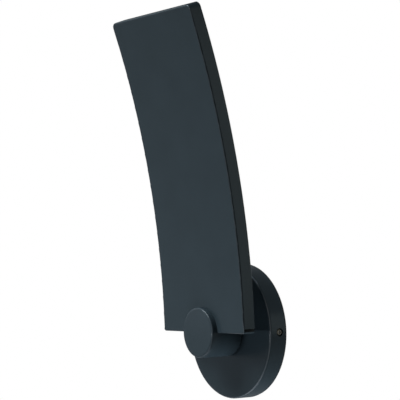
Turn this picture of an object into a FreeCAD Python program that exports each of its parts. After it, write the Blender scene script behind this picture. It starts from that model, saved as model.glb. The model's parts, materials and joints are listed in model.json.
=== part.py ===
import FreeCAD, Part
import math
import os
import re
import Sketcher

# Outdoor wall sconce with a curved panel. Millimetres.
# The wall is the plane Y = 0 and +Y points into it, +X is to the right of a person who faces
# the wall, +Z is up. The origin is the centre of the bracket's two box screws on the wall.
# Lengths called depth run from the wall towards the room, so a point there has Y = -depth.
# Places on the bent panel are given by two lengths: how far up its front face (along), and how
# far back from that face (into).

SIZES = {
    # clearances and cuts
    "fit_gap": 0.1,
    "running_gap": 0.05,
    "stop_gap": 0.4,
    "overrun": 2.0,
    # canopy
    "canopy_radius": 63.5,
    "canopy_depth": 19.0,
    "canopy_wall": 2.0,
    "canopy_edge_round": 2.0,
    "canopy_rim_round": 0.4,
    "hub_radius": 16.5,
    "hub_thickness": 3.5,
    "gasket_thickness": 1.0,
    "gasket_width": 4.0,
    "gasket_inset": 0.4,
    # side screws of the canopy
    "side_screw_depth": 8.1,
    "side_boss_radius": 6.0,
    "side_boss_height": 3.0,
    "recess_radius": 3.8,
    "recess_floor": 2.4,
    # mounting bracket
    "plate_rim_gap": 7.5,
    "plate_thickness": 1.6,
    "plate_hole_radius": 20.0,
    "ear_width": 14.0,
    "ear_depth": 13.5,
    "ear_gap": 0.3,
    "box_screw_spacing": 88.9,
    "box_slot_length": 12.0,
    "box_slot_width": 4.6,
    "ground_screw_inset": 14.5,
    "ground_screw_angle": 30.0,
    # swivel
    "stud_radius": 8.0,
    "stud_bore_radius": 5.5,
    "stud_flange_gap": 3.75,
    "stud_flange_thickness": 3.0,
    "stud_tail": 0.5,
    "bush_wall": 2.0,
    "bush_flange_radius": 14.0,
    "bush_flange_thickness": 1.0,
    "reveal_gap": 2.0,
    "reveal_washer_inset": 3.75,
    "stop_washer_radius": 13.0,
    "stop_washer_thickness": 1.2,
    "tongue_width": 5.0,
    "tongue_reach": 21.0,
    "stop_post_radius": 2.0,
    "stop_post_circle": 19.5,
    "swivel_range_angle": 90.0,
    "spring_washer_radius": 12.5,
    "spring_washer_sheet": 0.6,
    "spring_washer_height": 1.0,
    "nut_across_flats": 24.0,
    "nut_thickness": 3.5,
    # arm
    "arm_radius": 23.4,
    "arm_wall": 2.5,
    "arm_rear_wall": 4.0,
    "arm_length": 34.5,
    "arm_edge_round": 0.5,
    "cap_thickness": 3.0,
    "cap_edge_round": 2.0,
    "cap_stand_out": 6.0,
    "cap_spigot_length": 4.0,
    "cap_spigot_wall": 2.2,
    "cap_seal_section_radius": 0.6,
    # panel shell
    "panel_width": 127.0,
    "panel_rise": 300.0,
    "panel_thickness": 13.0,
    "panel_corner_radius": 5.0,
    "panel_low_corner_radius": 2.5,
    "panel_front_round": 1.2,
    "panel_back_round": 0.6,
    "bend_radius": 920.0,
    "bottom_tilt_angle": 1.0,
    "panel_wall": 2.5,
    "panel_ledge": 2.0,
    "relief_rise": 3.0,
    "relief_height": 2.6,
    "relief_depth": 1.2,
    "notch_wall": 3.0,
    "saddle_boss_gap": 0.15,
    "saddle_boss_height": 7.0,
    "saddle_screw_angle": 30.0,
    # rear cover and diffuser
    "cover_thickness": 1.5,
    "cover_inset": 0.3,
    "seal_thickness": 1.2,
    "window_notch_gap": 20.65,
    "window_top_margin": 20.0,
    "window_side_margin": 17.5,
    "window_corner_radius": 6.0,
    "diffuser_lap": 6.5,
    "diffuser_thickness": 2.0,
    "diffuser_gasket_thickness": 0.8,
    "cover_boss_radius": 3.0,
    "cover_boss_inset": 4.4,
    # light engine
    "board_side_margin": 33.5,
    "board_notch_gap": 5.75,
    "board_top_margin": 24.0,
    "board_thickness": 1.6,
    "board_corner_radius": 3.0,
    "pad_thickness": 0.5,
    "pad_inset": 1.0,
    "chip_width": 3.0,
    "chip_height": 2.8,
    "chip_thickness": 0.7,
    "chip_side_inset": 14.0,
    "chip_end_margin": 16.0,
    "connector_width": 9.0,
    "connector_height": 6.0,
    "connector_thickness": 3.6,
    "connector_edge": 0.5,
    "board_screw_inset": 5.0,
    # driver and terminal block
    "driver_length": 56.0,
    "driver_width": 25.0,
    "driver_thickness": 11.0,
    "driver_rim_gap": 3.0,
    "driver_round": 1.0,
    "driver_ear_length": 7.0,
    "driver_ear_width": 8.0,
    "driver_ear_thickness": 2.0,
    "terminal_length": 28.0,
    "terminal_width": 15.0,
    "terminal_height": 11.0,
    "terminal_rim_gap": 18.0,
    "terminal_pitch": 8.5,
    "terminal_well_radius": 2.4,
    "terminal_well_depth": 5.0,
    "terminal_mouth_radius": 1.9,
    "terminal_mouth_depth": 5.0,
    "terminal_gap": 1.0,
    "terminal_foot_length": 6.0,
    "terminal_foot_thickness": 2.0,
    # leads
    "lead_radius": 1.1,
    "wire_radius": 1.1,
    "wire_bend_radius": 5.0,
    "lead_turn_radius": 9.0,
    "lead_back_turn_radius": 4.5,
    "lead_gap": 0.4,
    "wire_depth": 4.4,
    "wire_step": 4.2,
    "wire_rim_gap": 9.2,
    "earth_rim_gap": 16.0,
    "supply_end_reach": 10.0,
    "supply_end_rise": 2.5,
    "lug_radius": 4.4,
    "lug_thickness": 0.8,
    "grommet_lip": 1.0,
    "grommet_lip_gap": 0.35,
    "grommet_lip_reach": 0.8,
    # screws: large ones fix canopy and panel, small ones fix what is inside
    "large_shank_radius": 2.0,
    "large_head_radius": 2.9,
    "large_head_height": 2.0,
    "large_head_round": 0.8,
    "large_cross_width": 1.1,
    "large_cross_reach": 1.7,
    "large_cross_depth": 1.2,
    "side_screw_length": 9.0,
    "saddle_screw_length": 9.0,
    "saddle_screw_sink": 0.4,
    "small_shank_radius": 1.5,
    "small_head_radius": 2.7,
    "small_head_height": 1.5,
    "small_head_round": 0.5,
    "small_cross_width": 0.8,
    "small_cross_reach": 1.5,
    "small_cross_depth": 0.9,
    "cover_shank_radius": 1.2,
    "cover_head_radius": 2.5,
    "cover_screw_length": 7.0,
    "board_shank_radius": 1.2,
    "board_head_radius": 2.2,
    "board_head_height": 1.1,
    "board_screw_length": 3.4,
}

COUNTS = {"chip_rows_count": 12, "stud_screw_count": 3}

# The groove lies this far along the cap's spigot, and the cutting cone of a countersink runs
# on past the cover's back by this much of the cover's thickness.
SHARES = {"seal_place_share": 0.45, "sink_run_share": 1.5}

# Places along the rear cover and the board, as shares of the panel's rise.
COVER_SCREW_SHARES = (0.075, 0.5, 0.965)
BOARD_SCREW_SHARES = (0.18, 0.535, 0.89)
# The middle of the supply leads' route, in shares of the canopy's inner radius: to the right,
# and up.
SUPPLY_ROUTE_SHARES = ((0.50, -0.75), (0.56, -0.10))


def lean(along):
    """Angle of the panel from vertical at a length up its front face."""
    return f"(bottom_tilt_angle + ({along})/bend_radius*180/pi)"


def bend_depth(along, into):
    """Depth of a point of the panel."""
    return (f"(panel_front + bend_radius*cos(bottom_tilt_angle)"
            f" - (bend_radius + {into})*cos({lean(along)}))")


def bend_rise(along, into):
    """Height of a point of the panel."""
    return (f"((bend_radius + {into})*sin({lean(along)})"
            f" - bend_radius*sin(bottom_tilt_angle))")


# Sizes that follow from the ones above.
DERIVED = {
    "canopy_inner_radius": "(canopy_radius - canopy_wall)",
    "canopy_inner_depth": "(canopy_depth - canopy_wall)",
    "hub_depth": "(canopy_depth - hub_thickness)",
    "bush_radius": "(stud_radius + running_gap + bush_wall)",
    "stack_depth": "(hub_depth - bush_flange_thickness)",
    "spring_depth": "(stack_depth - stop_washer_thickness)",
    "nut_depth": "(spring_depth - spring_washer_height)",
    "stud_end_depth": "(nut_depth - nut_thickness - stud_tail)",
    "nut_corner_radius": "(nut_across_flats/2/cos(30))",
    "side_boss_face": "(canopy_inner_radius - side_boss_height)",
    "side_seat": "(canopy_radius - recess_floor)",
    "ear_outer": "(side_boss_face - ear_gap)",
    "plate_radius": "(canopy_inner_radius - plate_rim_gap)",
    "ground_screw_circle": "(plate_radius - ground_screw_inset)",
    "ground_screw_across": "(ground_screw_circle*cos(ground_screw_angle))",
    "ground_screw_drop": "(ground_screw_circle*sin(ground_screw_angle))",
    "arm_rear_depth": "(canopy_depth + reveal_gap)",
    "arm_inner_radius": "(arm_radius - arm_wall)",
    "reveal_washer_radius": "(arm_radius - reveal_washer_inset)",
    "stud_flange_radius": "(arm_inner_radius - stud_flange_gap)",
    "stud_screw_circle": "((stud_radius + stud_flange_radius)/2)",
    "arm_floor_depth": "(arm_rear_depth + arm_rear_wall)",
    "arm_front_depth": "(arm_rear_depth + arm_length)",
    "cap_seat_depth": "(arm_front_depth - cap_thickness)",
    "spigot_radius": "(arm_inner_radius - fit_gap)",
    "spigot_depth": "(cap_seat_depth - cap_spigot_length)",
    "seal_groove_floor": "(spigot_radius - 2*cap_seal_section_radius)",
    "seal_depth": "(cap_seat_depth - cap_spigot_length*seal_place_share)",
    "panel_front": "(arm_front_depth - cap_stand_out)",
    "notch_radius": "(arm_radius + fit_gap)",
    "notch_ring_radius": "(notch_radius + notch_wall)",
    "panel_half_width": "(panel_width/2)",
    "cover_back": "(panel_thickness - cover_inset)",
    "cover_seat": "(cover_back - cover_thickness)",
    "ledge_level": "(cover_seat - seal_thickness)",
    "passage_half": "((ledge_level - panel_wall)/2)",
    "saddle_boss_radius": "(passage_half - saddle_boss_gap)",
    "grommet_lip_radius": "(passage_half - grommet_lip_gap)",
    "grommet_radius": "(grommet_lip_radius - grommet_lip_reach)",
    "inner_half_width": "(panel_half_width - panel_wall)",
    "inner_corner": "(panel_corner_radius - panel_wall)",
    "window_bottom": "(notch_ring_radius + window_notch_gap)",
    "window_top": "(panel_rise - window_top_margin)",
    "window_width": "(panel_width - 2*window_side_margin)",
    "diffuser_back": "(cover_seat - diffuser_gasket_thickness)",
    "diffuser_front": "(diffuser_back - diffuser_thickness)",
    "cover_screw_across": "(inner_half_width - cover_boss_inset)",
    "board_front": "(panel_wall + pad_thickness)",
    "board_back": "(board_front + board_thickness)",
    "board_bottom": "(notch_ring_radius + board_notch_gap)",
    "board_top": "(panel_rise - board_top_margin)",
    "connector_bottom": "(board_bottom + connector_edge)",
    "board_width": "(panel_width - 2*board_side_margin)",
    "chip_columns_apart": "(board_width - 2*chip_side_inset)",
    "board_screw_across": "(board_width/2 - board_screw_inset)",
    "driver_top": "(sqrt(canopy_inner_radius^2 - (driver_length/2)^2) - driver_rim_gap)",
    "driver_centre_rise": "(driver_top - driver_width/2)",
    "driver_low": "(driver_top - driver_width)",
    "driver_screw_across": "(driver_length/2 + driver_ear_length/2)",
    "terminal_low": "(canopy_inner_radius - terminal_rim_gap)",
    "terminal_centre_drop": "(terminal_low - terminal_width/2)",
    "terminal_top_depth": "(plate_thickness + terminal_height)",
    "terminal_screw_across": "(terminal_length/2 + terminal_foot_length/2)",
    "lead_join_depth": "hub_depth",
    "lead_back_depth": "(plate_thickness + lead_radius + lead_gap)",
    "passage_depth": bend_depth("notch_ring_radius", "(panel_wall + ledge_level)/2"),
    "stop_post_angle": "(swivel_range_angle"
    " + asin((tongue_width/2 + stop_post_radius + stop_gap)/stop_post_circle)/1deg)",
}

doc = FreeCAD.newDocument("wall_sconce")
sheet = doc.addObject("Spreadsheet::Sheet", "Sizes")
gauge = doc.addObject("App::FeaturePython", "Gauge")
nodes = []


def fill_sheet():
    """Writes every driving size into the sheet under its own name."""
    row = 0
    for name, number in {**SIZES, **COUNTS, **SHARES}.items():
        row += 1
        sheet.set(f"A{row}", name)
        sheet.set(f"B{row}", str(number))
        sheet.setAlias(f"B{row}", name)
    gauge.addProperty("App::PropertyFloat", "reading")
    doc.recompute()


def formula(text):
    """Turns the plain names in a formula into cells of the sheet."""
    def known(match):
        word = match.group()
        if word in DERIVED:
            return formula(DERIVED[word])
        if word in SIZES or word in COUNTS or word in SHARES:
            return "Sizes." + word
        return word
    return re.sub(r"[a-z_]+", known, str(text))


def value(text):
    """The number that a formula gives now."""
    gauge.setExpression("reading", formula(text))
    gauge.recompute()
    return gauge.reading


def bind(thing, **sizes):
    """Binds properties of an object to formulas, such as Radius="arm_radius"."""
    for prop, text in sizes.items():
        thing.setExpression(prop.replace("__", "."), formula(text))


def place(thing, across, depth, rise, turn_axis=(0, 0, 1), turn="0"):
    """Puts an object at a place given by formulas, turned about one row axis."""
    turn_axis = FreeCAD.Vector(*turn_axis)
    thing.Placement = FreeCAD.Placement(FreeCAD.Vector(), FreeCAD.Rotation(turn_axis, value(turn)))
    bind(thing, Placement__Base__x=across, Placement__Base__y=f"0 - ({depth})",
         Placement__Base__z=rise)
    thing.setExpression("Placement.Rotation.Angle", formula(turn))
    return thing


X_AXIS = (1, 0, 0)
Y_AXIS = (0, 1, 0)
TO_WALL = (X_AXIS, "0 - 90")
TO_ROOM = (X_AXIS, "90")
TO_RIGHT = (Y_AXIS, "90")
TO_LEFT = (Y_AXIS, "0 - 90")


def place_on_panel(thing, across, along, into):
    """Puts an object on the bent panel, its own Z pointing square to the sheet and to the back."""
    return place(thing, across, bend_depth(along, into), bend_rise(along, into),
                 X_AXIS, f"{lean(along)} - 90")


# Sketches and features

def sketch_on(body, plane, offset="0"):
    """A sketch on one of a body's own origin planes, moved along its normal."""
    sketch = body.newObject("Sketcher::SketchObject", body.Name + "_sketch")
    support = [item for item in body.Origin.OriginFeatures if item.Role == plane][0]
    sketch.AttachmentSupport = [(support, "")]
    sketch.MapMode = "FlatFace"
    bind(sketch, AttachmentOffset__Base__z=offset)
    return sketch


def pin_point(sketch, curve, end, first, second):
    """Fixes one point of a sketch to two formulas."""
    for kind, text in (("DistanceX", first), ("DistanceY", second)):
        index = sketch.addConstraint(
            Sketcher.Constraint(kind, -1, 1, curve, end, value(text)))
        sketch.setExpression(f"Constraints[{index}]", formula(text))


def draw_polygon(sketch, corners):
    """Closed outline of straight lines with every corner fixed."""
    spots = [FreeCAD.Vector(value(first), value(second), 0) for first, second in corners]
    count = len(spots)
    for index, spot in enumerate(spots):
        sketch.addGeometry(Part.LineSegment(spot, spots[(index + 1) % count]), False)
    for index in range(count):
        sketch.addConstraint(
            Sketcher.Constraint("Coincident", index, 2, (index + 1) % count, 1))
    for index, (first, second) in enumerate(corners):
        pin_point(sketch, index, 1, first, second)
    return sketch


def new_body(name):
    return doc.addObject("PartDesign::Body", name)


def turned(name, profile, plane="YZ_Plane", axis="H_Axis"):
    """A body turned about the arm's axis, or about its own Z, from a profile."""
    body = new_body(name)
    sketch = draw_polygon(sketch_on(body, plane), profile)
    turn = body.newObject("PartDesign::Revolution", name + "_turn")
    turn.Profile = sketch
    turn.ReferenceAxis = (sketch, [axis])
    turn.Angle = 360
    doc.recompute()
    return body


def turned_ring(name, near_depth, far_depth, inner, outer):
    """A plain washer about the arm's axis."""
    near, far = f"0 - ({near_depth})", f"0 - ({far_depth})"
    return turned(name, [(near, inner), (near, outer), (far, outer), (far, inner)])


def round_edges(body, radius, wanted):
    """Rounds the edges of a body's last shape that a test picks."""
    tip = body.Tip
    names = [f"Edge{index + 1}" for index, edge in enumerate(tip.Shape.Edges) if wanted(edge)]
    if not names:
        raise RuntimeError(f"no edge to round on {body.Name}")
    rounding = body.newObject("PartDesign::Fillet", body.Name + "_round")
    rounding.Base = (tip, names)
    bind(rounding, Radius=radius)
    doc.recompute()
    return body


def circle_at(radius, depth):
    """Test for a full circle about the arm's axis with a given radius and depth."""
    want_radius = value(radius)
    want_y = -value(depth)

    def wanted(edge):
        curve = edge.Curve
        return (isinstance(curve, Part.Circle)
                and math.isclose(curve.Radius, want_radius, rel_tol=1e-6)
                and math.isclose(curve.Center.y, want_y, abs_tol=want_radius * 1e-6))
    return wanted


def square_to_sheet(edge):
    """Test for the short straight edges that cross a bent sheet."""
    return isinstance(edge.Curve, Part.Line) and abs(edge.Curve.Direction.x) < 0.5


def corner_at_end(upper):
    """Test for the panel's corners at its upper or its lower end."""
    middle = value("panel_rise/2")
    return lambda edge: square_to_sheet(edge) and (edge.CenterOfMass.z > middle) == upper


def rim_at(into):
    """Test for all edges of a bent sheet at one distance back from the front face."""
    centre_y = -value("panel_front + bend_radius*cos(bottom_tilt_angle)")
    centre_z = -value("bend_radius*sin(bottom_tilt_angle)")
    want = value(f"bend_radius + {into}")

    def wanted(edge):
        ends = [edge.valueAt(edge.FirstParameter), edge.valueAt(edge.LastParameter)]
        return all(math.isclose(math.hypot(end.y - centre_y, end.z - centre_z), want,
                                rel_tol=1e-7) for end in ends)
    return wanted


def bent_sheet(name, bottom, top, front, back, width, corner, low_corner=None):
    """A sheet that follows the panel's bend, with its corners rounded, alike or apart at the two ends."""
    body = new_body(name)
    sketch = sketch_on(body, "YZ_Plane")
    centre = (f"0 - {bend_depth('0', '0 - bend_radius')}", bend_rise("0", "0 - bend_radius"))
    middle = FreeCAD.Vector(value(centre[0]), value(centre[1]), 0)
    start = math.radians(value(lean(bottom)))
    stop = math.radians(value(lean(top)))
    for into in (front, back):
        circle = Part.Circle(middle, FreeCAD.Vector(0, 0, 1), value(f"bend_radius + {into}"))
        sketch.addGeometry(Part.ArcOfCircle(circle, start, stop), False)
    ends = [(-value(bend_depth(along, into)), value(bend_rise(along, into)))
            for along in (bottom, top) for into in (front, back)]
    spots = [FreeCAD.Vector(first, second, 0) for first, second in ends]
    sketch.addGeometry(Part.LineSegment(spots[0], spots[1]), False)
    sketch.addGeometry(Part.LineSegment(spots[2], spots[3]), False)
    for first, second in (((0, 3), (1, 3)), ((2, 1), (0, 1)), ((2, 2), (1, 1)),
                          ((3, 1), (0, 2)), ((3, 2), (1, 2))):
        sketch.addConstraint(Sketcher.Constraint("Coincident", *first, *second))
    pin_point(sketch, 0, 3, *centre)
    for curve, into in ((0, front), (1, back)):
        index = sketch.addConstraint(
            Sketcher.Constraint("Radius", curve, value(f"bend_radius + {into}")))
        sketch.setExpression(f"Constraints[{index}]", formula(f"bend_radius + {into}"))
        for end, along in ((1, bottom), (2, top)):
            text = bend_rise(along, into)
            index = sketch.addConstraint(
                Sketcher.Constraint("DistanceY", -1, 1, curve, end, value(text)))
            sketch.setExpression(f"Constraints[{index}]", formula(text))
    pad = body.newObject("PartDesign::Pad", name + "_pad")
    pad.Profile = sketch
    pad.Midplane = True
    bind(pad, Length=width)
    doc.recompute()
    if low_corner is None:
        return round_edges(body, corner, square_to_sheet)
    round_edges(body, low_corner, corner_at_end(False))
    return round_edges(body, corner, corner_at_end(True))


def rod(name, radius, length, across, depth, rise, turn=TO_WALL):
    """A cylinder from a place along a direction."""
    item = doc.addObject("Part::Cylinder", name)
    bind(item, Radius=radius, Height=length)
    return place(item, across, depth, rise, *turn)


def rod_on_panel(name, radius, length, across, along, into):
    item = doc.addObject("Part::Cylinder", name)
    bind(item, Radius=radius, Height=length)
    return place_on_panel(item, across, along, into)


def box_on_panel(name, across, along, into, width, height, thickness):
    """A block on the bent sheet, centred across and along."""
    item = doc.addObject("Part::Box", name)
    bind(item, Length=width, Width=height, Height=thickness)
    return place_on_panel(item, f"{across} - {width}/2", f"{along} + {height}/2", into)


def arm_rod(name, radius, near_depth, far_depth):
    """A cylinder about the arm's axis between two depths."""
    return rod(name, radius, f"{far_depth} - ({near_depth})", "0", far_depth, "0")


def brick(name, across, depth, rise, width, thickness, height):
    """A block whose depth runs from the given depth towards the wall."""
    item = doc.addObject("Part::Box", name)
    bind(item, Length=width, Width=thickness, Height=height)
    return place(item, across, depth, rise)


def rounded_brick(name, across, depth, rise, width, thickness, height, radius):
    """A block with all its edges rounded."""
    body = new_body(name)
    block = body.newObject("PartDesign::AdditiveBox", name + "_block")
    bind(block, Length=width, Width=thickness, Height=height)
    doc.recompute()
    round_edges(body, radius, lambda edge: True)
    return place(body, across, depth, rise)


def fuse(name, items):
    result = doc.addObject("Part::MultiFuse", name)
    result.Shapes = items
    result.Refine = True
    return result


def cut(name, base, items):
    result = doc.addObject("Part::Cut", name)
    result.Base = base
    result.Tool = items[0] if len(items) == 1 else fuse(name + "_tools", items)
    result.Refine = True
    return result


def group(name, items):
    """Several separate pieces of one kind in one node."""
    result = doc.addObject("Part::Compound", name)
    result.Links = items
    return result


def copy_of(master, name):
    link = doc.addObject("App::Link", name)
    link.LinkedObject = master
    return link


def node(item, name):
    """Marks a finished piece as a node of the part."""
    item.Label = name
    nodes.append(item)
    return item


# Screws

def cross_screw(name, shank, head, height, rounding, length, cross):
    """A pan-head screw about its own Z, its seat at the origin and its shank downwards."""
    body = turned(name, [("0", f"0 - ({length})"), (shank, f"0 - ({length})"), (shank, "0"),
                         (head, "0"), (head, f"{height} - {rounding}"),
                         (f"{head} - {rounding}", height), ("0", height)],
                  "XZ_Plane", "V_Axis")
    half, reach, depth = cross
    sketch = sketch_on(body, "XY_Plane", height)
    half = f"({half}/2)"
    draw_polygon(sketch, [
        (half, half), (half, reach), (f"0 - {half}", reach), (f"0 - {half}", half),
        (f"0 - {reach}", half), (f"0 - {reach}", f"0 - {half}"), (f"0 - {half}", f"0 - {half}"),
        (f"0 - {half}", f"0 - {reach}"), (half, f"0 - {reach}"), (half, f"0 - {half}"),
        (reach, f"0 - {half}"), (reach, half)])
    pocket = body.newObject("PartDesign::Pocket", name + "_cross")
    pocket.Profile = sketch
    bind(pocket, Length=depth)
    before = body.Shape.Volume
    doc.recompute()
    if not body.Shape.Volume < before:
        raise RuntimeError(f"the cross of {name} cuts nothing")
    return body


def large_screw(name, length):
    return cross_screw(name, "large_shank_radius", "large_head_radius", "large_head_height",
                       "large_head_round", length,
                       ("large_cross_width", "large_cross_reach", "large_cross_depth"))


def small_screw(name, length):
    return cross_screw(name, "small_shank_radius", "small_head_radius", "small_head_height",
                       "small_head_round", length,
                       ("small_cross_width", "small_cross_reach", "small_cross_depth"))


# Leads

def lead_shape(points, radius, bend):
    """A round lead along straight runs joined by tangent arcs."""
    spots = [FreeCAD.Vector(value(across), -value(depth), value(rise))
             for across, depth, rise in points]
    size = value(radius)
    turn_radius = value(bend)
    edges = []
    here = spots[0]
    for before, corner, after in zip(spots, spots[1:], spots[2:]):
        arriving = (corner - before).normalize()
        leaving = (after - corner).normalize()
        half_turn = arriving.getAngle(leaving) / 2
        reach = turn_radius * math.tan(half_turn)
        first = corner - arriving * reach
        last = corner + leaving * reach
        inwards = (leaving - arriving).normalize()
        middle = corner + inwards * (turn_radius / math.cos(half_turn) - turn_radius)
        edges.append(Part.LineSegment(here, first).toShape())
        edges.append(Part.Arc(first, middle, last).toShape())
        here = last
    edges.append(Part.LineSegment(here, spots[-1]).toShape())
    path = Part.Wire(edges)
    section = Part.Wire(Part.Circle(spots[0], spots[1] - spots[0], size).toShape())
    return path.makePipeShell([section], True, False)


def lead(name, shape):
    item = doc.addObject("Part::Feature", name)
    item.Shape = shape
    item.Placement = FreeCAD.Placement()
    return item


# Canopy and bracket

def make_wall_gasket():
    node(turned_ring("wall_gasket", "gasket_thickness", "0",
                     "canopy_radius - gasket_inset - gasket_width",
                     "canopy_radius - gasket_inset"), "wall_gasket")


def make_canopy_cover():
    dish = turned("canopy_dish", [
        ("0 - gasket_thickness", "canopy_inner_radius"),
        ("0 - gasket_thickness", "canopy_radius"),
        ("0 - canopy_depth", "canopy_radius"),
        ("0 - canopy_depth", "bush_radius + fit_gap"),
        ("0 - hub_depth", "bush_radius + fit_gap"),
        ("0 - hub_depth", "hub_radius"),
        ("0 - canopy_inner_depth", "hub_radius"),
        ("0 - canopy_inner_depth", "canopy_inner_radius")])
    round_edges(dish, "canopy_edge_round", circle_at("canopy_radius", "canopy_depth"))
    round_edges(dish, "canopy_rim_round", circle_at("canopy_radius", "gasket_thickness"))
    added = []
    removed = []
    for side, turn, sign in (("right", TO_RIGHT, ""), ("left", TO_LEFT, "0 - ")):
        added.append(rod(f"side_boss_{side}", "side_boss_radius",
                         "side_boss_height + canopy_wall/2", f"{sign}side_boss_face",
                         "side_screw_depth", "0", turn))
        removed.append(rod(f"side_recess_{side}", "recess_radius", "recess_floor + overrun",
                           f"{sign}side_seat", "side_screw_depth", "0", turn))
        removed.append(rod(f"side_hole_{side}", "large_shank_radius + fit_gap",
                           "side_boss_height + canopy_wall + overrun",
                           f"{sign}(side_boss_face - overrun/2)", "side_screw_depth", "0", turn))
        added.append(rod(f"stop_post_{side}", "stop_post_radius",
                         "canopy_inner_depth - nut_depth + canopy_wall/2",
                         f"{sign}stop_post_circle*sin(stop_post_angle)",
                         "canopy_inner_depth + canopy_wall/2",
                         "0 - stop_post_circle*cos(stop_post_angle)"))
    cover = cut("canopy_cover", fuse("canopy_solid", [dish] + added), removed)
    node(cover, "canopy_cover")


def make_mounting_bracket():
    disc = arm_rod("bracket_disc", "plate_radius", "0", "plate_thickness")
    tongue = brick("bracket_tongue", "0 - ear_outer", "plate_thickness", "0 - ear_width/2",
                   "2*ear_outer", "plate_thickness", "ear_width")
    ears = [brick(f"bracket_ear_{side}", across, "ear_depth", "0 - ear_width/2",
                  "plate_thickness", "ear_depth", "ear_width")
            for side, across in (("right", "ear_outer - plate_thickness"),
                                 ("left", "0 - ear_outer"))]
    holes = [arm_rod("bracket_hole", "plate_hole_radius", "0 - overrun",
                     "plate_thickness + overrun"),
             rod("ear_holes", "large_shank_radius + running_gap", "2*ear_outer + 2*overrun",
                 "0 - ear_outer - overrun", "side_screw_depth", "0", TO_RIGHT)]

    def plate_hole(name, radius, across, rise):
        holes.append(rod(name, radius, "plate_thickness + 2*overrun", across,
                         "plate_thickness + overrun", rise))

    for side, sign in (("right", ""), ("left", "0 - ")):
        centre = f"{sign}box_screw_spacing/2"
        straight = "(box_slot_length - box_slot_width)"
        holes.append(brick(f"box_slot_{side}", f"{centre} - {straight}/2",
                           "plate_thickness + overrun", "0 - box_slot_width/2", straight,
                           "plate_thickness + 2*overrun", "box_slot_width"))
        for end, shift in (("inner", "-"), ("outer", "+")):
            plate_hole(f"box_slot_{side}_{end}", "box_slot_width/2",
                       f"{centre} {shift} {straight}/2", "0")
        plate_hole(f"driver_hole_{side}", "small_shank_radius + running_gap",
                   f"{sign}driver_screw_across", "driver_centre_rise")
        plate_hole(f"terminal_hole_{side}", "small_shank_radius + running_gap",
                   f"{sign}terminal_screw_across", "0 - terminal_centre_drop")
    plate_hole("ground_hole", "large_shank_radius + running_gap",
               "0 - ground_screw_across", "0 - ground_screw_drop")
    node(cut("mounting_bracket", fuse("bracket_solid", [disc, tongue] + ears), holes),
         "mounting_bracket")


def make_side_screws():
    master = large_screw("side_screw_master", "side_screw_length")
    screws = []
    for side, turn, sign in (("right", TO_RIGHT, ""), ("left", TO_LEFT, "0 - ")):
        screws.append(place(copy_of(master, f"side_screw_{side}"), f"{sign}side_seat",
                            "side_screw_depth", "0", *turn))
    node(group("side_screws", screws), "side_screws")


def make_ground_screw():
    screw = large_screw("ground_screw", "plate_thickness + lug_thickness - fit_gap")
    node(place(screw, "0 - ground_screw_across", "plate_thickness + lug_thickness",
               "0 - ground_screw_drop", *TO_ROOM), "ground_screw")


# Driver, terminal block and their wiring

def make_led_driver():
    case = rounded_brick("driver_case", "0 - driver_length/2",
                         "plate_thickness + driver_thickness", "driver_low",
                         "driver_length", "driver_thickness", "driver_width", "driver_round")
    ears = []
    holes = []
    for side, across, centre in (
            ("right", "driver_length/2 - driver_round", "driver_screw_across"),
            ("left", "0 - driver_length/2 - driver_ear_length", "0 - driver_screw_across")):
        ears.append(brick(f"driver_ear_{side}", across,
                          "plate_thickness + driver_ear_thickness",
                          "driver_centre_rise - driver_ear_width/2",
                          "driver_ear_length + driver_round", "driver_ear_thickness",
                          "driver_ear_width"))
        holes.append(rod(f"driver_ear_hole_{side}", "small_shank_radius + fit_gap",
                         "driver_ear_thickness + 2*overrun", centre,
                         "plate_thickness + driver_ear_thickness + overrun",
                         "driver_centre_rise"))
    node(cut("led_driver", fuse("driver_solid", [case] + ears), holes), "led_driver")


def make_plate_screws(name, across, rise, foot):
    master = small_screw(f"{name}_master", f"{foot} + plate_thickness - fit_gap")
    screws = [place(copy_of(master, f"{name}_{side}"), f"{sign}{across}",
                    f"plate_thickness + {foot}", rise, *TO_ROOM)
              for side, sign in (("right", ""), ("left", "0 - "))]
    node(group(name, screws), name)


def terminal_poles():
    return (("live", "terminal_pitch"), ("neutral", "0"), ("earth", "0 - terminal_pitch"))


def make_terminal_block():
    block = rounded_brick("terminal_case", "0 - terminal_length/2", "terminal_top_depth",
                          "0 - terminal_low", "terminal_length", "terminal_height",
                          "terminal_width", "driver_round")
    foot_length = "terminal_length + 2*terminal_foot_length"
    foot = brick("terminal_foot", f"0 - ({foot_length})/2",
                 "plate_thickness + terminal_foot_thickness",
                 "0 - terminal_centre_drop - terminal_foot_length/2", foot_length,
                 "terminal_foot_thickness", "terminal_foot_length")
    holes = []
    for pole, across in terminal_poles():
        holes.append(rod(f"terminal_well_{pole}", "terminal_well_radius",
                         "terminal_well_depth + overrun", across,
                         "terminal_top_depth + overrun", "0 - terminal_centre_drop"))
        for side, rise in (("top", "0 - terminal_low + terminal_width - terminal_mouth_depth"),
                           ("bottom", "0 - terminal_low - overrun")):
            holes.append(rod(f"terminal_mouth_{pole}_{side}", "terminal_mouth_radius",
                             "terminal_mouth_depth + overrun", across,
                             "wire_depth", rise, (X_AXIS, "0")))
    for side, sign in (("right", ""), ("left", "0 - ")):
        holes.append(rod(f"terminal_foot_hole_{side}", "small_shank_radius + fit_gap",
                         "terminal_foot_thickness + 2*overrun",
                         f"{sign}terminal_screw_across",
                         "plate_thickness + terminal_foot_thickness + overrun",
                         "0 - terminal_centre_drop"))
    node(cut("terminal_block", fuse("terminal_solid", [block, foot]), holes), "terminal_block")


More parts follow.
